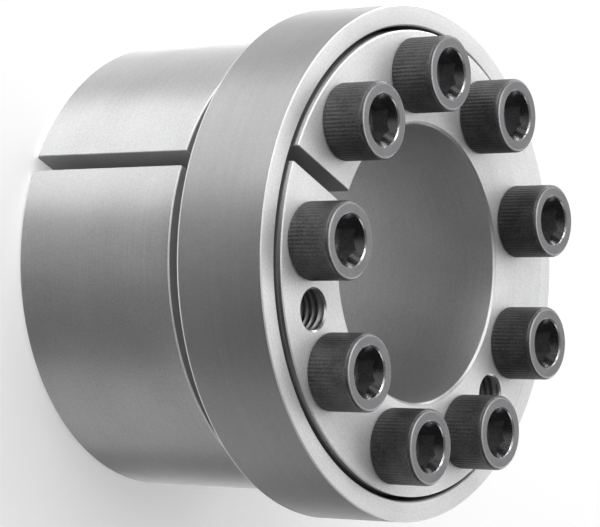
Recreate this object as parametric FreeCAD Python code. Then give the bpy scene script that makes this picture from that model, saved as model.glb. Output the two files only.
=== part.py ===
import FreeCAD, Part
import math
import os

from FreeCAD import Vector

# Keyless shaft locking assembly with one taper, for a 48 mm shaft in an 80 mm hub bore.
# The axis is +Z. The origin is the centre of the rear faces, which lie at z = 0, and the
# screw heads are at the top. The slits of both clamping rings lie along +X.
# All lengths are in millimetres and all angles in degrees.

# Shaft that the assembly grips
shaft_diameter = 48.0

# Lengths along the axis, before the screws are tightened
outer_ring_length = 33.5
draw_gap = 5.3
spacer_width = 17.2
spacer_lip_thickness = 5.2
flange_proud = 0.8

# Mating tapers of the sleeve and the outer ring
taper_on_diameter = 0.1
sleeve_tip_wall = 1.5
draw_travel = 2.0
drawn_up_clearance = 0.05

# Slit through each clamping ring
slit_width = 2.8

# Clamping screws
screw_count = 9
screw_diameter = 8.0
screw_length = 40.0
head_diameter = 13.0
head_height = 8.0
knurl_count = 30
knurl_depth = 0.3
socket_width = 6.0
socket_depth = 4.4

# Holes for the screws: clear in the flange, tapped in the outer ring
flange_hole_clearance = 0.5
thread_clearance = 0.05

# Tapped holes in the flange for the push-off screws
push_off_count = 3
push_off_diameter = 8.0

# Radial steps outwards, from the sleeve's root to the outside
sleeve_to_screw_hole = 0.05
tapped_hole_to_hub_bore = 3.7
flange_over_hub_bore = 0.1
screw_hole_to_spacer_lip = 0.45
rim_clearance = 0.75
spacer_wall = 3.65

# Chamfers: the outer ring's leads into the hub, and the others break the front edges
outer_ring_chamfer = 0.8
flange_chamfer = 0.4
spacer_chamfer = 0.5
bore_chamfer = 0.6

# Tools of a cut reach this far past the faces that they cut through
overcut = 1.0

# Heights that follow from the sizes above
spacer_rear = outer_ring_length + draw_gap
spacer_front = spacer_rear + spacer_width
flange_rear = spacer_rear + spacer_lip_thickness
flange_front = spacer_front + flange_proud
screw_tip = flange_front - screw_length
head_top = flange_front + head_height

# Taper that follows from the sizes above
taper_slope = taper_on_diameter / 2
taper_clearance = draw_travel * taper_slope + drawn_up_clearance
bore_radius = shaft_diameter / 2


def sleeve_radius(z):
    """Outside radius of the inner ring's tapered sleeve at a height."""
    return bore_radius + sleeve_tip_wall + taper_slope * z


def outer_bore_radius(z):
    """Radius of the outer ring's tapered bore at a height."""
    return sleeve_radius(z) + taper_clearance


# Radii that follow from the sizes above, from the inside outwards
screw_hole_radius = screw_diameter / 2 + flange_hole_clearance
tapped_hole_radius = screw_diameter / 2 + thread_clearance
pitch_radius = sleeve_radius(flange_rear) + sleeve_to_screw_hole + screw_hole_radius
hub_bore_radius = pitch_radius + tapped_hole_radius + tapped_hole_to_hub_bore
flange_radius = hub_bore_radius + flange_over_hub_bore
spacer_lip_radius = pitch_radius + screw_hole_radius + screw_hole_to_spacer_lip
spacer_recess_radius = flange_radius + rim_clearance
spacer_radius = spacer_recess_radius + spacer_wall
screw_step = 360.0 / screw_count


def turned(profile):
    """Solid turned about the axis from (radius, height) points."""
    points = [Vector(radius, 0, z) for radius, z in profile]
    face = Part.Face(Part.makePolygon(points + points[:1]))
    return face.revolve(Vector(0, 0, 0), Vector(0, 0, 1), 360)


def rod(radius, bottom, top):
    """Round bar on the axis between two heights."""
    return Part.makeCylinder(radius, top - bottom, Vector(0, 0, bottom))


def slit(outside_radius, bottom, top):
    """Block that cuts a ring through on the +X side."""
    return Part.makeBox(
        outside_radius + overcut,
        slit_width,
        top - bottom + 2 * overcut,
        Vector(0, -slit_width / 2, bottom - overcut),
    )


def on_pitch_circle(shape, angle):
    """Copy of a shape on the axis, moved out to the pitch circle at an angle."""
    copy = shape.copy()
    copy.translate(Vector(pitch_radius, 0, 0))
    copy.rotate(Vector(0, 0, 0), Vector(0, 0, 1), angle)
    return copy


def screw_angle(index):
    """Angle of a screw: the slit lies midway between the last screw and the first."""
    return screw_step * (index + 0.5)


def push_off_angle(index):
    """Angle of a push-off hole, midway between two screws."""
    gap = round(index * screw_count / push_off_count)
    return screw_step * (gap + 1)


def at_screws(shape):
    """Copies of a shape on the axis, one at each screw."""
    return [on_pitch_circle(shape, screw_angle(index)) for index in range(screw_count)]


def at_push_off_holes(shape):
    """Copies of a shape on the axis, one at each push-off hole."""
    return [on_pitch_circle(shape, push_off_angle(index)) for index in range(push_off_count)]


def make_inner_ring():
    """Slit tapered sleeve with its flange, turned in one piece."""
    ring = turned([
        (bore_radius, 0),
        (sleeve_radius(0), 0),
        (sleeve_radius(flange_rear), flange_rear),
        (flange_radius, flange_rear),
        (flange_radius, flange_front - flange_chamfer),
        (flange_radius - flange_chamfer, flange_front),
        (bore_radius + bore_chamfer, flange_front),
        (bore_radius, flange_front - bore_chamfer),
    ])
    below, above = flange_rear - overcut, flange_front + overcut
    cuts = at_screws(rod(screw_hole_radius, below, above))
    cuts += at_push_off_holes(rod(push_off_diameter / 2, below, above))
    cuts.append(slit(flange_radius, 0, flange_front))
    return ring.cut(cuts)


def make_outer_ring():
    """Slit ring with the tapered bore, and the tapped holes that take the screws."""
    ring = turned([
        (outer_bore_radius(0), 0),
        (hub_bore_radius - outer_ring_chamfer, 0),
        (hub_bore_radius, outer_ring_chamfer),
        (hub_bore_radius, outer_ring_length),
        (outer_bore_radius(outer_ring_length), outer_ring_length),
    ])
    cuts = at_screws(rod(tapped_hole_radius, -overcut, outer_ring_length + overcut))
    cuts.append(slit(hub_bore_radius, 0, outer_ring_length))
    return ring.cut(cuts)


def make_spacer_ring():
    """Ring of L section: its lip lies behind the flange and stops on the hub's face."""
    return turned([
        (spacer_lip_radius, spacer_rear),
        (spacer_radius, spacer_rear),
        (spacer_radius, spacer_front - spacer_chamfer),
        (spacer_radius - spacer_chamfer, spacer_front),
        (spacer_recess_radius, spacer_front),
        (spacer_recess_radius, flange_rear),
        (spacer_lip_radius, flange_rear),
    ])


def polygon(radii, z):
    """Flat polygon about the axis at a height, whose corners take the radii in turn."""
    corners = []
    for index, radius in enumerate(radii):
        angle = 2 * math.pi * index / len(radii)
        corners.append(Vector(radius * math.cos(angle), radius * math.sin(angle), z))
    return Part.Face(Part.makePolygon(corners + corners[:1]))


def make_screw():
    """Socket-head cap screw on the axis, with its knurled head seated on the flange's face."""
    ridge = head_diameter / 2
    groove = ridge - knurl_depth
    head = polygon([ridge, groove] * knurl_count, flange_front).extrude(Vector(0, 0, head_height))
    shank = rod(screw_diameter / 2, screw_tip, flange_front + overcut)
    socket_corner = socket_width / 2 / math.cos(math.pi / 6)
    socket = polygon([socket_corner] * 6, head_top - socket_depth)
    socket = socket.extrude(Vector(0, 0, socket_depth + overcut))
    return head.fuse(shank).cut(socket)


def main():
    os.makedirs("parts", exist_ok=True)
    make_inner_ring().exportStep("parts/inner_ring.step")
    make_outer_ring().exportStep("parts/outer_ring.step")
    make_spacer_ring().exportStep("parts/spacer_ring.step")
    for number, screw in enumerate(at_screws(make_screw()), start=1):
        screw.exportStep(f"parts/clamping_screw_{number}.step")


main()
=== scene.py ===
import math

import bmesh
import bpy
from mathutils import Matrix, Vector
from mathutils.geometry import delaunay_2d_cdt


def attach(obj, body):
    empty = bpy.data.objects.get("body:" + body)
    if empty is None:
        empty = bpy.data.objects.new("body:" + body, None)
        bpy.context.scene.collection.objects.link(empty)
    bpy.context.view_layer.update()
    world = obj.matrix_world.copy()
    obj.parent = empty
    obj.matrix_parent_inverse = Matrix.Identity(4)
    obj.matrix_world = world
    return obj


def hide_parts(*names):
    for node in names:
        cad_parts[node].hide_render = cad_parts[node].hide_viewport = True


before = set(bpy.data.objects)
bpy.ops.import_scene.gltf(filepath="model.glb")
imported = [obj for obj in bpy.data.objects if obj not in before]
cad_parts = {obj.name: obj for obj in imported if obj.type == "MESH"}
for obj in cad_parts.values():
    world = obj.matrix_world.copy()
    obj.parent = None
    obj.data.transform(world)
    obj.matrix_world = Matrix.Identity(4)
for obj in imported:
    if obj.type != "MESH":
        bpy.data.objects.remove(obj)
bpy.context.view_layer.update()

# All sizes of the object are in millimetres, as in the solids, and MM turns them into metres
MM = 0.001

# Radii
BORE = 24.0
SLEEVE_TIP = 25.5
LIP = 37.2
HUB_SEAT = 40.0
FLANGE = 40.1
RECESS = 40.85
SPACER = 44.5
PITCH_CIRCLE = 32.25
CLEARANCE_HOLE = 4.5
TAPPED_HOLE = 4.05
SHANK = 4.0
HEAD = 6.5

# Heights above the rear faces
SCREW_TIP = 16.8
OUTER_FRONT = 33.5
SPACER_REAR = 38.8
FLANGE_REAR = 44.0
SPACER_FRONT = 56.0
FLANGE_FRONT = 56.8
HEAD_TOP = 64.8

# Tapers, slits and counts
TAPER = 0.05
TAPER_GAP = 0.15
SLIT = 2.8
SCREWS = 9
PUSH_OFFS = 3
SCREW_STEP = 360 / SCREWS

# Chamfers of the rings. The spacer ring's rear bevel goes in by the first and along by the second
BORE_REAR_CHAMFER = 0.5
BORE_FRONT_CHAMFER = 0.4
TIP_CHAMFER = 0.3
FLANGE_REAR_CHAMFER = 0.3
FLANGE_FRONT_CHAMFER = 0.2
TAPER_CHAMFER = 0.3
HUB_LEAD_CHAMFER = 0.8
OUTER_FRONT_CHAMFER = 0.2
SPACER_FRONT_CHAMFER = 0.2
RECESS_CHAMFER = 0.25
REAR_BEVEL_IN, REAR_BEVEL_ALONG = 0.1, 0.35

# Thread of the screws and of the tapped holes. The form gives the places of the corners within
# one lead, and says which of them lie on the major radius
LEAD = 1.25
THREAD_MAJOR = 4.0
THREAD_MINOR = 3.38
THREAD_FORM = ((0.0, 0), (0.25, 0), (0.56, 1), (0.69, 1))
THREAD_RUN_OUT = 0.9

# Tapped holes: their countersunk mouths, and how far the outer ring's thread goes in from the rear
PUSH_OFF_MOUTH = 3.7
TAPPED_MOUTH = TAPPED_HOLE + 0.2
TAPPED_MOUTH_DEPTH = 0.2
TAPPED_THREAD_END = 14.0
TAPPED_THREAD_STEP = 0.5

# Screw head: bevel under it, knurled part between the bevel and a plain band, and rounded rim
HEAD_BEVEL = 0.3
KNURLS = 60
KNURL_DEPTH = 0.08
KNURL_END = 1.3
BAND_START = 1.1
RIM_RADIUS = 0.6
RIM_STEPS = 8
# From this row of the rim on, the rim carries a painted highlight
RIM_HIGHLIGHT_FROM = 5

# Screw socket: bevelled edge of the mouth as (radius, depth), countersink and hexagon
MOUTH = 4.35
MOUTH_EDGE = ((MOUTH + 0.2, 0.0), (MOUTH + 0.12, 0.05), (MOUTH, 0.3))
COUNTERSINK_SLOPE = 0.9
KEY_RADIUS = 3.0
SOCKET_DEPTH = 4.4
DRILL_RADIUS = 2.7
DRILL_STEP = 0.05
DRILL_DEPTH = 1.3

# Screw shank
SCREW_THREAD_LENGTH = 28.0
SHANK_STEP = 0.3
TIP_BEVEL = 0.6
TIP_RADIUS = 2.9

# A row of points this close to an axis stands for the axis
AXIS = 0.001

# Fineness of the meshes
RING_SEGMENTS = 360
HEAD_SEGMENTS = 4 * KNURLS
HOLE_SEGMENTS = 64
HOLE_FLATS = math.cos(math.pi / HOLE_SEGMENTS)
WELD_WITHIN = 0.002
SLIVER = 0.001
SHARP_FROM = math.radians(18)

# Rounding of edges: its reach, the share of a side that it may take, and the least turn it needs
EASE = 0.12
EASE_SHARE = 0.3
EASE_FROM = math.radians(20)

# Delaunay triangulation: which faces it gives, and how close two points may come
TRIANGLES_INSIDE = 1
TRIANGULATION_EPSILON = 1e-5

# Material slots of a ring: turned sides, faced flats (painted light), groove walls (painted
# shade), slit walls, holes, bore (painted light) and chamfers (painted highlights)
TURNED, FACED_LIT, GROOVE_SHADE, SAWN, HOLES, BORED_LIT, EDGED_HIGHLIGHT = 0, 1, 2, 3, 4, 5, 6

# Material slots of a screw: body, face ring (painted light), edges (painted highlights),
# countersink (painted shade) and socket (painted light)
BODY_LOOK, HEAD_LIT_LOOK, RIM_HIGHLIGHT_LOOK, CONE_SHADE_LOOK, SOCKET_LIT_LOOK = 0, 1, 2, 3, 4

# How a strip of a ring's outline gets its slot: how close to a size it counts as there, how far
# outside the bore's radius it is still bore, and how steep faced flats and chamfers can be
CLOSE = 0.01
LEVEL_WITHIN = 0.001
FLAT_WIDTH = 1.0
BORE_BAND = 0.7
FACED_SLOPE = 0.2
CHAMFER_SLOPE = 4


def on_circle(radius, angle, centre=(0.0, 0.0)):
    """Point of a circle in the plane, with the angle in radians."""
    return (centre[0] + radius * math.cos(angle), centre[1] + radius * math.sin(angle))


def spread(start, end, count):
    """Values from start to end in equal steps, both ends included."""
    return [start + (end - start) * i / count for i in range(count + 1)]


class Piece:
    """Patches of one piece in millimetres, joined into a closed mesh."""

    def __init__(self):
        self.points = []
        self.faces = []
        self.looks = []

    def face(self, corners, look):
        """One face of points that are already there."""
        self.faces.append(corners)
        self.looks.append(look)

    def patch(self, rows, look=0):
        """Four-sided faces between rows of points."""
        first = len(self.points)
        width = len(rows[0])
        for row in rows:
            self.points.extend(row)
        for r in range(len(rows) - 1):
            for c in range(width - 1):
                a = first + r * width + c
                self.face((a, a + 1, a + width + 1, a + width), look)

    def polygon(self, points, look):
        """One flat face."""
        first = len(self.points)
        self.points.extend(points)
        self.face(tuple(range(first, first + len(points))), look)

    def flat(self, z, outline, holes, look=0):
        """Flat face at a height, inside an outline and outside round holes of (radius, centre)."""
        points, edges = [], []
        for loop in [outline] + [hole_loop(radius, centre) for radius, centre in holes]:
            first = len(points)
            points.extend(Vector(p) for p in loop)
            edges.extend((first + i, first + (i + 1) % len(loop)) for i in range(len(loop)))
        found = delaunay_2d_cdt(points, edges, [], TRIANGLES_INSIDE, TRIANGULATION_EPSILON)
        vertices, triangles = found[0], found[2]
        first = len(self.points)
        self.points.extend((p.x, p.y, z) for p in vertices)
        for corners in triangles:
            middle = sum((vertices[i] for i in corners), Vector((0, 0))) / len(corners)
            if all((middle - Vector(centre)).length > radius * HOLE_FLATS
                   for radius, centre in holes):
                self.face(tuple(first + i for i in corners), look)

    def build(self, name):
        """Object of the joined patches."""
        mesh = bpy.data.meshes.new(name)
        mesh.from_pydata([[v * MM for v in p] for p in self.points], [], self.faces)
        mesh.polygons.foreach_set("material_index", self.looks)
        bm = bmesh.new()
        bm.from_mesh(mesh)
        bmesh.ops.remove_doubles(bm, verts=bm.verts, dist=WELD_WITHIN * MM)
        bmesh.ops.dissolve_degenerate(bm, edges=bm.edges, dist=SLIVER * MM)
        bmesh.ops.recalc_face_normals(bm, faces=bm.faces)
        bm.to_mesh(mesh)
        bm.free()
        mesh.shade_smooth()
        mesh.set_sharp_from_angle(angle=SHARP_FROM)
        obj = bpy.data.objects.new(name, mesh)
        bpy.context.scene.collection.objects.link(obj)
        return obj


def eased(profile):
    """Closed counter-clockwise outline with each outer corner rounded off by two short facets."""
    rounded = []
    for i, corner in enumerate(profile):
        here = Vector(corner)
        back, on = Vector(profile[i - 1]) - here, Vector(profile[(i + 1) % len(profile)]) - here
        if on.x * back.y - on.y * back.x < math.sin(EASE_FROM) * on.length * back.length:
            rounded.append(tuple(here))
            continue
        reach = min(EASE, EASE_SHARE * back.length, EASE_SHARE * on.length)
        start, end = here + reach * back.normalized(), here + reach * on.normalized()
        rounded += [tuple(start), tuple((start + end) / 4 + here / 2), tuple(end)]
    return rounded


def inset(profile, by):
    """Closed counter-clockwise outline moved inwards by a distance."""
    moved = []
    for i, corner in enumerate(profile):
        here = Vector(corner)
        sides = []
        for way in (here - Vector(profile[i - 1]), Vector(profile[(i + 1) % len(profile)]) - here):
            way.normalize()
            sides.append(Vector((-way.y, way.x)))
        moved.append(tuple(here + (sides[0] + sides[1]) * by / (1 + sides[0].dot(sides[1]))))
    return moved


def ring_row(radius, z, half_slit):
    """Row of points round the axis. A slit ring starts and ends beside its slit."""
    start = math.asin(half_slit / radius)
    angles = spread(start, 2 * math.pi - start, RING_SEGMENTS)
    return [on_circle(radius, a) + (z,) for a in angles]


def strip_look(r0, z0, r1, z1):
    """Material slot of one strip of a ring's outline."""
    wide, high = abs(r1 - r0), abs(z1 - z0)
    # The bore gets a lighter copy of the steel: painted light inside the bore
    if max(r0, r1) < BORE + BORE_BAND:
        return BORED_LIT
    # Flat strips get the lighter faced copy of the steel: painted light
    # Steeper chamfer strips get the lighter edged copy of the steel: painted highlights
    if high < CHAMFER_SLOPE * wide:
        return FACED_LIT if high < FACED_SLOPE * wide else EDGED_HIGHLIGHT
    # Walls in the groove between flange and spacer get the darker copy of the steel: painted shade
    in_groove = FLANGE - CLOSE < min(r0, r1) and max(r0, r1) < RECESS + CLOSE
    if in_groove and FLANGE_REAR - CLOSE < min(z0, z1) and max(z0, z1) < SPACER_FRONT + CLOSE:
        return GROOVE_SHADE
    return TURNED


def turned_ring(piece, profile, flats=(), half_slit=0.0):
    """Ring turned from a closed (radius, height) outline.

    Flats are (height, round holes in it, look).
    """
    outline = eased(profile)
    # The faces round the axis stop short of the slit's faces, and narrow strips ease the edge
    # between them
    half = half_slit + EASE if half_slit else 0.0
    for (r0, z0), (r1, z1) in zip(outline, outline[1:] + outline[:1]):
        flat = [found for found in flats
                if max(abs(z0 - found[0]), abs(z1 - found[0])) < LEVEL_WITHIN
                and abs(r1 - r0) > FLAT_WIDTH]
        if flat:
            _, holes, look = flat[0]
            far, near = ring_row(max(r0, r1), z0, half), ring_row(min(r0, r1), z0, half)
            piece.flat(z0, [p[:2] for p in far + near[::-1]], holes, look)
            continue
        rows = [ring_row(r0, z0, half), ring_row(r1, z1, half)]
        piece.patch(rows, strip_look(r0, z0, r1, z1))
    if half_slit:
        inner = inset(outline, EASE)
        for side in (1, -1):
            rim = [(math.sqrt(r * r - half * half), side * half, z) for r, z in outline]
            face = [(math.sqrt(r * r - half_slit * half_slit), side * half_slit, z)
                    for r, z in inner]
            piece.patch([rim + rim[:1], face + face[:1]], SAWN)
            piece.polygon(face, SAWN)


def hole_loop(radius, centre):
    """Closed loop of points of a round hole."""
    return [on_circle(radius, 2 * math.pi * i / HOLE_SEGMENTS, centre)
            for i in range(HOLE_SEGMENTS)]


def hole_walls(piece, centre, profile, look=HOLES):
    """Turned wall of a hole or a shank through (radius, height) points."""
    angles = spread(0, 2 * math.pi, HOLE_SEGMENTS)
    piece.patch([[on_circle(r, a, centre) + (z,) for a in angles] for r, z in profile], look)


def thread(piece, centre, bottom, top, look=HOLES):
    """Right-hand thread between two heights, which runs out to the minor radius at both ends."""
    turns = math.ceil((top - bottom) / LEAD) + 2
    columns = []
    for angle in spread(0, 2 * math.pi, HOLE_SEGMENTS):
        column = []
        for turn in range(turns):
            for share, major in THREAD_FORM:
                z = bottom + LEAD * (turn - 1 + share + angle / (2 * math.pi))
                z = min(max(z, bottom), top)
                grown = min((z - bottom) / THREAD_RUN_OUT, (top - z) / THREAD_RUN_OUT, 1.0)
                radius = THREAD_MINOR + (THREAD_MAJOR - THREAD_MINOR) * major * grown
                column.append(on_circle(radius, angle, centre) + (z,))
        columns.append(column)
    piece.patch(columns, look)


def screw_centre(index):
    """Centre of a screw on the pitch circle."""
    return on_circle(PITCH_CIRCLE, math.radians(SCREW_STEP * (index + 0.5)))


def push_off_centre(index):
    """Centre of a push-off hole, midway between two screws."""
    return on_circle(PITCH_CIRCLE, math.radians(SCREW_STEP * (SCREWS // PUSH_OFFS * index + 1)))


def make_inner_ring():
    """Slit tapered sleeve with its flange."""
    piece = Piece()
    root = SLEEVE_TIP + TAPER * FLANGE_REAR
    profile = [
        (BORE + BORE_REAR_CHAMFER, 0),
        (SLEEVE_TIP - TIP_CHAMFER, 0),
        (SLEEVE_TIP + TAPER * TIP_CHAMFER, TIP_CHAMFER),
        (root, FLANGE_REAR),
        (FLANGE - FLANGE_REAR_CHAMFER, FLANGE_REAR),
        (FLANGE, FLANGE_REAR + FLANGE_REAR_CHAMFER),
        (FLANGE, SPACER_FRONT),
        (FLANGE, FLANGE_FRONT - FLANGE_FRONT_CHAMFER),
        (FLANGE - FLANGE_FRONT_CHAMFER, FLANGE_FRONT),
        (BORE + BORE_FRONT_CHAMFER, FLANGE_FRONT),
        (BORE, FLANGE_FRONT - BORE_FRONT_CHAMFER),
        (BORE, BORE_REAR_CHAMFER),
    ]
    clear = [(CLEARANCE_HOLE, screw_centre(i)) for i in range(SCREWS)]
    tapped = [(PUSH_OFF_MOUTH, push_off_centre(i)) for i in range(PUSH_OFFS)]
    # The flange's faces get the lighter faced copy of the steel: painted light
    flats = [(z, clear + tapped, FACED_LIT) for z in (FLANGE_REAR, FLANGE_FRONT)]
    turned_ring(piece, profile, flats, SLIT / 2)
    for radius, centre in clear:
        hole_walls(piece, centre, [(radius, FLANGE_REAR), (radius, FLANGE_FRONT)])
    lead_in = PUSH_OFF_MOUTH - THREAD_MINOR
    bottom, top = FLANGE_REAR + lead_in, FLANGE_FRONT - lead_in
    for mouth, centre in tapped:
        hole_walls(piece, centre, [(mouth, FLANGE_REAR), (THREAD_MINOR, bottom)])
        thread(piece, centre, bottom, top)
        hole_walls(piece, centre, [(THREAD_MINOR, top), (mouth, FLANGE_FRONT)])
    return piece.build("inner_ring_turned")


def make_outer_ring():
    """Slit ring with the tapered bore and the tapped holes that take the screws."""
    piece = Piece()
    tail = SLEEVE_TIP + TAPER_GAP
    nose = tail + TAPER * OUTER_FRONT
    profile = [
        (tail + TAPER_CHAMFER, 0),
        (HUB_SEAT - HUB_LEAD_CHAMFER, 0),
        (HUB_SEAT, HUB_LEAD_CHAMFER),
        (HUB_SEAT, OUTER_FRONT - OUTER_FRONT_CHAMFER),
        (HUB_SEAT - OUTER_FRONT_CHAMFER, OUTER_FRONT),
        (nose + TAPER_CHAMFER, OUTER_FRONT),
        (nose, OUTER_FRONT - TAPER_CHAMFER),
        (tail, TAPER_CHAMFER),
    ]
    holes = [(TAPPED_MOUTH, screw_centre(i)) for i in range(SCREWS)]
    # The rear face gets the lighter faced copy (painted light); the front face under the spacer
    # gets the darker groove copy (painted shade)
    turned_ring(piece, profile, [(0, holes, FACED_LIT), (OUTER_FRONT, holes, GROOVE_SHADE)], SLIT / 2)
    lead_in = TAPPED_MOUTH - THREAD_MINOR
    for mouth, centre in holes:
        hole_walls(piece, centre, [(mouth, 0), (THREAD_MINOR, lead_in)])
        thread(piece, centre, lead_in, TAPPED_THREAD_END)
        hole_walls(piece, centre, [
            (THREAD_MINOR, TAPPED_THREAD_END),
            (TAPPED_HOLE, TAPPED_THREAD_END + TAPPED_THREAD_STEP),
            (TAPPED_HOLE, OUTER_FRONT - TAPPED_MOUTH_DEPTH),
            (mouth, OUTER_FRONT),
        ])
    return piece.build("outer_ring_turned")


def make_spacer_ring():
    """Ring of L section round the flange."""
    piece = Piece()
    turned_ring(piece, [
        (LIP, SPACER_REAR),
        (SPACER - REAR_BEVEL_IN, SPACER_REAR),
        (SPACER, SPACER_REAR + REAR_BEVEL_ALONG),
        (SPACER, SPACER_FRONT - SPACER_FRONT_CHAMFER),
        (SPACER - SPACER_FRONT_CHAMFER, SPACER_FRONT),
        (RECESS + RECESS_CHAMFER, SPACER_FRONT),
        (RECESS, SPACER_FRONT - RECESS_CHAMFER),
        (RECESS, FLANGE_REAR),
        (LIP, FLANGE_REAR),
    ])
    return piece.build("spacer_ring_turned")


def head_row(radius, z, centre):
    """Row of points round a screw's head."""
    return [on_circle(radius, a, centre) + (z,) for a in spread(0, 2 * math.pi, HEAD_SEGMENTS)]


def knurled_row(depth, z, centre):
    """Row of points round a knurled head, four to a groove."""
    radii = (HEAD, HEAD - 0.5 * depth, HEAD - depth, HEAD - 0.5 * depth)
    angles = spread(0, 2 * math.pi, HEAD_SEGMENTS)
    return [on_circle(radii[i % len(radii)], a, centre) + (z,) for i, a in enumerate(angles)]


def add_head(piece, centre):
    """Underside, knurled side, plain band, rounded rim and face ring of a screw's head."""
    seat, top = FLANGE_FRONT, HEAD_TOP
    rim = [head_row(HEAD - RIM_RADIUS * (1 - math.cos(a)), top - RIM_RADIUS * (1 - math.sin(a)),
                    centre)
           for a in spread(0, math.pi / 2, RIM_STEPS)]
    underside = head_row(HEAD - HEAD_BEVEL, seat, centre)
    piece.flat(seat, [p[:2] for p in underside[:-1]], [(SHANK, centre)])
    piece.patch([
        underside,
        head_row(HEAD - HEAD_BEVEL / 2, seat + HEAD_BEVEL / 2, centre),
        knurled_row(KNURL_DEPTH, seat + HEAD_BEVEL, centre),
        knurled_row(KNURL_DEPTH, top - KNURL_END, centre),
        knurled_row(0.0, top - BAND_START, centre),
    ] + rim[:RIM_HIGHLIGHT_FROM + 1])
    # The rim's inner rows get the lighter edge copy of the oxide: a painted highlight
    piece.patch(rim[RIM_HIGHLIGHT_FROM:], RIM_HIGHLIGHT_LOOK)
    # The face ring gets a lighter copy of the oxide: painted light
    piece.patch([rim[-1], head_row(MOUTH_EDGE[0][0], top, centre)], HEAD_LIT_LOOK)


def add_socket(piece, centre):
    """Countersunk hexagon socket of a screw. The countersink meets the hexagon's flats in arcs."""
    top, bottom = HEAD_TOP, HEAD_TOP - SOCKET_DEPTH
    mouth = [head_row(radius, top - depth, centre) for radius, depth in MOUTH_EDGE]
    # The mouth's bevel gets the lighter edge copy of the oxide: a painted highlight
    piece.patch(mouth, RIM_HIGHLIGHT_LOOK)
    edge, floor = [], []
    for a in spread(0, 2 * math.pi, HEAD_SEGMENTS):
        r = KEY_RADIUS / math.cos(a % (math.pi / 3) - math.pi / 6)
        height = top - MOUTH_EDGE[-1][1] - (MOUTH - r) * COUNTERSINK_SLOPE
        edge.append(on_circle(r, a, centre) + (height,))
        floor.append(on_circle(r, a, centre) + (bottom,))
    # The countersink gets a darker copy of the oxide: painted shade
    piece.patch([mouth[-1], edge], CONE_SHADE_LOOK)
    # The hexagon and its floor get a lighter copy of the oxide: painted light in the socket
    piece.patch([
        edge,
        floor,
        head_row(DRILL_RADIUS, bottom - DRILL_STEP, centre),
        head_row(AXIS, bottom - DRILL_DEPTH, centre),
    ], SOCKET_LIT_LOOK)


def add_shank(piece, centre):
    """Plain shank, thread and tip of a screw."""
    thread_top = SCREW_TIP + SCREW_THREAD_LENGTH
    bottom, top = SCREW_TIP + TIP_BEVEL, thread_top - SHANK_STEP
    plain = [(SHANK, FLANGE_FRONT), (SHANK, thread_top), (THREAD_MINOR, top)]
    tip = [(THREAD_MINOR, bottom), (TIP_RADIUS, SCREW_TIP), (AXIS, SCREW_TIP)]
    hole_walls(piece, centre, plain, BODY_LOOK)
    thread(piece, centre, bottom, top, BODY_LOOK)
    hole_walls(piece, centre, tip, BODY_LOOK)


def make_screw(index):
    """Socket-head cap screw with a knurled head, threaded for most of its length."""
    piece = Piece()
    centre = screw_centre(index)
    add_head(piece, centre)
    add_socket(piece, centre)
    add_shank(piece, centre)
    return piece.build(f"clamping_screw_{index + 1}_made")


# Materials. Densities of noise are per metre of the object, and per radian for the marks' sweep

MARK_DENSITY = 9000.0
MARK_SWEEP = 1.2
MARK_DETAIL = 2.0
STEEL_CLOUD, STEEL_CLOUD_DETAIL = 90.0, 5.0
STEEL_GRAIN, STEEL_GRAIN_DETAIL = 3200.0, 3.0
STEEL_SHARES = (0.3, 0.25, 0.45)
STEEL_TINT = (1.0, 1.0, 1.005)
STEEL_SPECKLE = 0.5
STEEL_ROUGHNESS_SPREAD = 0.09
STEEL_BUMP_GRAIN = 0.4

OXIDE_CLOUD, OXIDE_CLOUD_DETAIL = 300.0, 4.0
OXIDE_GRAIN, OXIDE_GRAIN_DETAIL = 3500.0, 3.0
OXIDE_SHARES = (0.35, 0.65)
OXIDE_TINT = (1.0, 1.0, 1.03)
OXIDE_DARKEST = 0.3
OXIDE_ROUGHNESS_SPREAD = 0.08


class Wires:
    """Short ways to add nodes to a material and join them."""

    def __init__(self, made):
        self.tree = made.node_tree

    def node(self, kind, **values):
        """Node of a kind with its properties set."""
        made = self.tree.nodes.new(kind)
        for key, value in values.items():
            setattr(made, key, value)
        return made

    def join(self, source, target):
        """Link from an output to an input."""
        self.tree.links.new(source, target)

    def math(self, operation, first, second=None):
        """Math on outputs or numbers."""
        made = self.node("ShaderNodeMath", operation=operation)
        for socket, value in zip(made.inputs, (first, second)):
            if value is None:
                continue
            if isinstance(value, (int, float)):
                socket.default_value = value
            else:
                self.join(value, socket)
        return made.outputs[0]

    def weighted(self, sources, shares):
        """Sum of outputs, each times its share."""
        total = None
        for source, share in list(zip(sources, shares))[::-1]:
            scaled = self.math("MULTIPLY", source, share)
            total = self.math("ADD", scaled, total) if total else scaled
        return total

    def ramp(self, source, low, high):
        """Source from 0 to 1 spread over low to high."""
        made = self.node("ShaderNodeMapRange")
        self.join(source, made.inputs["Value"])
        made.inputs["To Min"].default_value = low
        made.inputs["To Max"].default_value = high
        return made.outputs["Result"]

    def noise(self, vector, scale, detail):
        """Noise over a vector."""
        made = self.node("ShaderNodeTexNoise")
        made.inputs["Scale"].default_value = scale
        made.inputs["Detail"].default_value = detail
        self.join(vector, made.inputs["Vector"])
        return made.outputs[0]

    def vector(self, x, y, z):
        """Vector of three outputs."""
        made = self.node("ShaderNodeCombineXYZ")
        for source, socket in zip((x, y, z), made.inputs):
            self.join(source, socket)
        return made.outputs[0]

    def tinted(self, shade, tint):
        """Colour of a grey shade times a tint."""
        made = self.node("ShaderNodeCombineColor")
        for socket, part in zip(made.inputs, tint):
            self.join(self.math("MULTIPLY", shade, part), socket)
        return made.outputs[0]

    def bump(self, height, strength, distance):
        """Normal of a bumpy surface."""
        made = self.node("ShaderNodeBump")
        made.inputs["Strength"].default_value = strength
        made.inputs["Distance"].default_value = distance
        self.join(height, made.inputs["Height"])
        return made.outputs[0]


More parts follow.
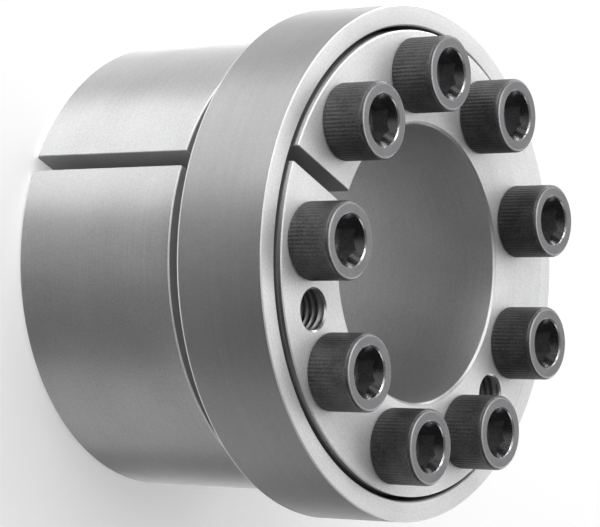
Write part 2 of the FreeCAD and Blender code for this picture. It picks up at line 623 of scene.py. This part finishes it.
def material(name):
    """Empty node material with its output and shader, and its wires."""
    made = bpy.data.materials.new(name)
    made.use_nodes = True
    nodes = made.node_tree.nodes
    nodes.clear()
    output = nodes.new("ShaderNodeOutputMaterial")
    shader = nodes.new("ShaderNodeBsdfPrincipled")
    made.node_tree.links.new(shader.outputs["BSDF"], output.inputs["Surface"])
    return made, shader, Wires(made)


def turned_steel(name, tone, roughness, metal, anisotropy):
    """Bright steel with fine tool marks round the axis, cloudy wear and fine grain."""
    made, shader, wires = material(name)
    place = wires.node("ShaderNodeTexCoord").outputs["Object"]
    split = wires.node("ShaderNodeSeparateXYZ")
    wires.join(place, split.inputs[0])
    x, y, z = split.outputs
    squares = wires.math("ADD", wires.math("MULTIPLY", x, x), wires.math("MULTIPLY", y, y))
    radius = wires.math("SQRT", squares)
    angle = wires.math("ARCTAN2", y, x)
    # Tool marks change fast along the radius and the height, and slowly round the axis
    lines = wires.vector(wires.math("MULTIPLY", radius, MARK_DENSITY),
                         wires.math("MULTIPLY", z, MARK_DENSITY),
                         wires.math("MULTIPLY", angle, MARK_SWEEP))
    marks = wires.noise(lines, 1.0, MARK_DETAIL)
    cloud = wires.noise(place, STEEL_CLOUD, STEEL_CLOUD_DETAIL)
    grain = wires.noise(place, STEEL_GRAIN, STEEL_GRAIN_DETAIL)
    mixed = wires.weighted((marks, cloud, grain), STEEL_SHARES)
    rough = wires.ramp(mixed, roughness - STEEL_ROUGHNESS_SPREAD,
                       roughness + STEEL_ROUGHNESS_SPREAD)
    shade = wires.ramp(mixed, tone * (1 - STEEL_SPECKLE), tone * (1 + STEEL_SPECKLE))
    height = wires.math("ADD", marks, wires.math("MULTIPLY", grain, STEEL_BUMP_GRAIN))
    wires.join(rough, shader.inputs["Roughness"])
    wires.join(wires.tinted(shade, STEEL_TINT), shader.inputs["Base Color"])
    normal = wires.bump(height, strength=0.25, distance=0.00002)
    wires.join(normal, shader.inputs["Normal"])
    shader.inputs["Metallic"].default_value = metal
    shader.inputs["Anisotropic"].default_value = anisotropy
    shader.inputs["Anisotropic Rotation"].default_value = 0.25
    tangent = wires.node("ShaderNodeTangent", direction_type="RADIAL", axis="Z")
    wires.join(tangent.outputs[0], shader.inputs["Tangent"])
    return made


def black_oxide(name, tone, roughness, speckle):
    """Blackened steel of the screws: dark, with a soft sheen and slight wear."""
    made, shader, wires = material(name)
    place = wires.node("ShaderNodeTexCoord").outputs["Object"]
    cloud = wires.noise(place, OXIDE_CLOUD, OXIDE_CLOUD_DETAIL)
    grain = wires.noise(place, OXIDE_GRAIN, OXIDE_GRAIN_DETAIL)
    mixed = wires.weighted((cloud, grain), OXIDE_SHARES)
    rough = wires.ramp(grain, roughness - OXIDE_ROUGHNESS_SPREAD,
                       roughness + OXIDE_ROUGHNESS_SPREAD)
    shade = wires.ramp(mixed, tone * (1 - speckle), tone * (1 + speckle))
    shade = wires.math("MAXIMUM", shade, tone * OXIDE_DARKEST)
    wires.join(rough, shader.inputs["Roughness"])
    wires.join(wires.tinted(shade, OXIDE_TINT), shader.inputs["Base Color"])
    normal = wires.bump(grain, strength=0.3, distance=0.00003)
    wires.join(normal, shader.inputs["Normal"])
    shader.inputs["Metallic"].default_value = 0.6
    return made


# Name, tone, roughness, metallic and anisotropy
outer_turned = turned_steel("outer_ring_steel_look", 0.46, 0.62, 1.0, 1.0)
turned = turned_steel("turned_steel_look", 0.29, 0.6, 1.0, 0.9)
# Faces: a lighter copy of the same steel, painted light
faced_lit = turned_steel("faced_steel_painted_light_look", 0.8, 0.55, 0.6, 0.0)
# Groove walls and the outer ring's front face: a darker copy, painted shade
groove = turned_steel("groove_steel_painted_shade_look", 0.22, 0.55, 0.3, 0.0)
sawn = turned_steel("sawn_steel_look", 0.36, 0.6, 0.3, 0.0)
threaded = turned_steel("threaded_steel_look", 0.44, 0.35, 1.0, 0.0)
# Bore: a lighter copy of the same steel, painted light
bored_lit = turned_steel("bored_steel_painted_light_look", 0.62, 0.4, 0.9, 0.0)
# Chamfers: a lighter copy of the same steel, painted highlights
edged_highlight = turned_steel("chamfer_steel_painted_highlight_look", 0.62, 0.5, 0.7, 0.0)

# Name, tone, roughness and speckle, in the order of a screw's slots
SCREW_LOOKS = [
    black_oxide("screw_steel_look", 0.052, 0.46, 2.0),
    # Face ring: a lighter copy of the oxide, painted light
    black_oxide("screw_face_painted_light_look", 0.2, 0.42, 0.6),
    # Rim and mouth edges: a lighter copy of the oxide, painted highlights
    black_oxide("screw_edge_painted_highlight_look", 0.32, 0.24, 0.4),
    # Countersink: a darker copy of the oxide, painted shade
    black_oxide("screw_countersink_painted_shade_look", 0.025, 0.27, 1.4),
    # Socket: a lighter copy of the oxide, painted light
    black_oxide("screw_socket_painted_light_look", 0.17, 0.45, 1.4),
]

# In the order of a ring's slots
RING_LOOKS = [turned, faced_lit, groove, sawn, threaded, bored_lit, edged_highlight]
OUTER_RING_LOOKS = [outer_turned] + RING_LOOKS[1:]


def place_piece(obj, looks, body, node):
    """Gives a piece its materials, its body and the solid that it stands for."""
    for look in looks:
        obj.data.materials.append(look)
    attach(obj, body)
    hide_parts(node)


place_piece(make_inner_ring(), RING_LOOKS, "body", "inner_ring")
place_piece(make_spacer_ring(), RING_LOOKS, "body", "spacer_ring")
place_piece(make_outer_ring(), OUTER_RING_LOOKS, "outer_ring", "outer_ring")
for number in range(SCREWS):
    name = f"clamping_screw_{number + 1}"
    place_piece(make_screw(number), SCREW_LOOKS, name, name)


def heading(angle):
    """Level direction at an angle round the axis, in radians."""
    return Vector((math.cos(angle), math.sin(angle), 0.0))


# Directions of the photograph in the object's frame. The angle of its up was fitted from the ninth
# screw, which stands half a screw step before the slits
FRONT = Vector((0.0, 0.0, 1.0))
UP_FROM_NINTH_SCREW = -0.87186
PHOTO_UP_ANGLE = UP_FROM_NINTH_SCREW - math.radians(SCREW_STEP / 2)
UP = heading(PHOTO_UP_ANGLE)
SIDE = heading(PHOTO_UP_ANGLE + math.pi / 2)

# Camera as fitted to the photograph, in radians and in radii of the spacer ring
TURN, TILT, ROLL = 0.93575, -0.09496, 0.05987
UNIT = SPACER * MM
DISTANCE = 10.95747 * UNIT
ALONG = -0.55801 * UNIT
RAISED = 0.00397 * UNIT
FOCAL_PIXELS = 2746.754
PHOTO_WIDTH = 600
SENSOR_WIDTH = 36.0


def make_camera():
    """Camera at the photograph's viewing angle."""
    to_camera = math.sin(TURN) * SIDE + math.cos(TURN) * FRONT
    back = math.sin(TILT) * UP + math.cos(TILT) * to_camera
    level_up = math.cos(TILT) * UP - math.sin(TILT) * to_camera
    level_right = -math.cos(TURN) * SIDE + math.sin(TURN) * FRONT
    right = math.cos(ROLL) * level_right + math.sin(ROLL) * level_up
    upward = -math.sin(ROLL) * level_right + math.cos(ROLL) * level_up
    aim = Vector((0, 0, SPACER_FRONT * MM)) + ALONG * FRONT + RAISED * UP
    turned_to = Matrix((right, upward, back)).transposed().to_4x4()
    lens = bpy.data.cameras.new("camera")
    lens.sensor_fit = "HORIZONTAL"
    lens.sensor_width = SENSOR_WIDTH
    lens.lens = FOCAL_PIXELS / PHOTO_WIDTH * SENSOR_WIDTH
    lens.clip_start = 0.01
    lens.clip_end = 20.0
    camera = bpy.data.objects.new("camera", lens)
    bpy.context.scene.collection.objects.link(camera)
    camera.matrix_world = Matrix.Translation(aim + DISTANCE * back) @ turned_to
    bpy.context.scene.camera = camera


# Floor, lamps and world in metres. The floor lies a little below the part
FLOOR_HALF = 6.0
FLOOR_HEIGHT = -0.0002
FLOOR_GLOW = 0.25
LAMP_AIM = Vector((0, 0, 0.035))
LAMP_DISTANCE = 1.0

# Name, bearing and height in degrees, size and glow. The low ones stand round the photograph's
# upper side and draw the bright bands on the turned sides, and the high ones light the front faces
SOFTBOXES = [
    ("low_near", 40, 6, (0.7, 0.26), 12.3),
    ("low_key", 66, 6, (0.26, 0.26), 13.5),
    ("low_side", 104, 6, (0.6, 0.26), 5.2),
    ("low_far", 130, 6, (0.35, 0.26), 14.0),
    ("low_under", 284, 6, (0.9, 0.26), 2.8),
    ("low_back", 212, 6, (0.9, 0.26), 3.0),
    ("spark", 88, 35, (0.26, 0.25), 6.0),
    ("high_key", 30, 52, (1.0, 0.45), 2.4),
    ("high_back", 178, 38, (1.2, 0.8), 0.9),
    ("overhead", 130, 66, (1.0, 0.5), 1.7),
]


def make_floor():
    """Large pale floor under the part, white to the camera and in reflections."""
    mesh = bpy.data.meshes.new("floor")
    half = FLOOR_HALF
    corners = [(-half, -half, 0), (half, -half, 0), (half, half, 0), (-half, half, 0)]
    mesh.from_pydata(corners, [], [(0, 1, 2, 3)])
    floor = bpy.data.objects.new("floor", mesh)
    bpy.context.scene.collection.objects.link(floor)
    floor.location.z = FLOOR_HEIGHT
    made, shader, wires = material("floor_look")
    shader.inputs["Base Color"].default_value = (0.8, 0.8, 0.8, 1.0)
    shader.inputs["Roughness"].default_value = 0.9
    shader.inputs["Specular IOR Level"].default_value = 0.1
    path = wires.node("ShaderNodeLightPath")
    seen = wires.math("ADD", path.outputs["Is Camera Ray"], path.outputs["Is Glossy Ray"])
    seen = wires.math("ADD", seen, path.outputs["Is Transmission Ray"])
    shader.inputs["Emission Color"].default_value = (1.0, 1.0, 1.0, 1.0)
    wires.join(wires.math("MULTIPLY", seen, FLOOR_GLOW), shader.inputs["Emission Strength"])
    mesh.materials.append(made)


def make_softbox(name, bearing, height, size, glow):
    """Soft lamp that faces the part. Its bearing goes from SIDE towards UP."""
    data = bpy.data.lights.new(name, "AREA")
    data.shape = "RECTANGLE"
    data.size, data.size_y = size
    data.energy = math.pi * size[0] * size[1] * glow
    lamp = bpy.data.objects.new(name, data)
    bpy.context.scene.collection.objects.link(lamp)
    turn, rise = math.radians(bearing), math.radians(height)
    level = math.cos(turn) * SIDE + math.sin(turn) * UP
    away = math.cos(rise) * level + math.sin(rise) * FRONT
    lamp.location = LAMP_AIM + LAMP_DISTANCE * away
    lamp.rotation_euler = away.to_track_quat("Z", "Y").to_euler()


def make_world():
    """Even pale surroundings."""
    world = bpy.data.worlds.new("studio")
    bpy.context.scene.world = world
    world.use_nodes = True
    background = world.node_tree.nodes["Background"]
    background.inputs["Color"].default_value = (0.9, 0.9, 0.9, 1.0)
    background.inputs["Strength"].default_value = 0.1


make_camera()
make_floor()
make_world()
for softbox in SOFTBOXES:
    make_softbox(*softbox)

bpy.context.scene.view_settings.view_transform = "Standard"
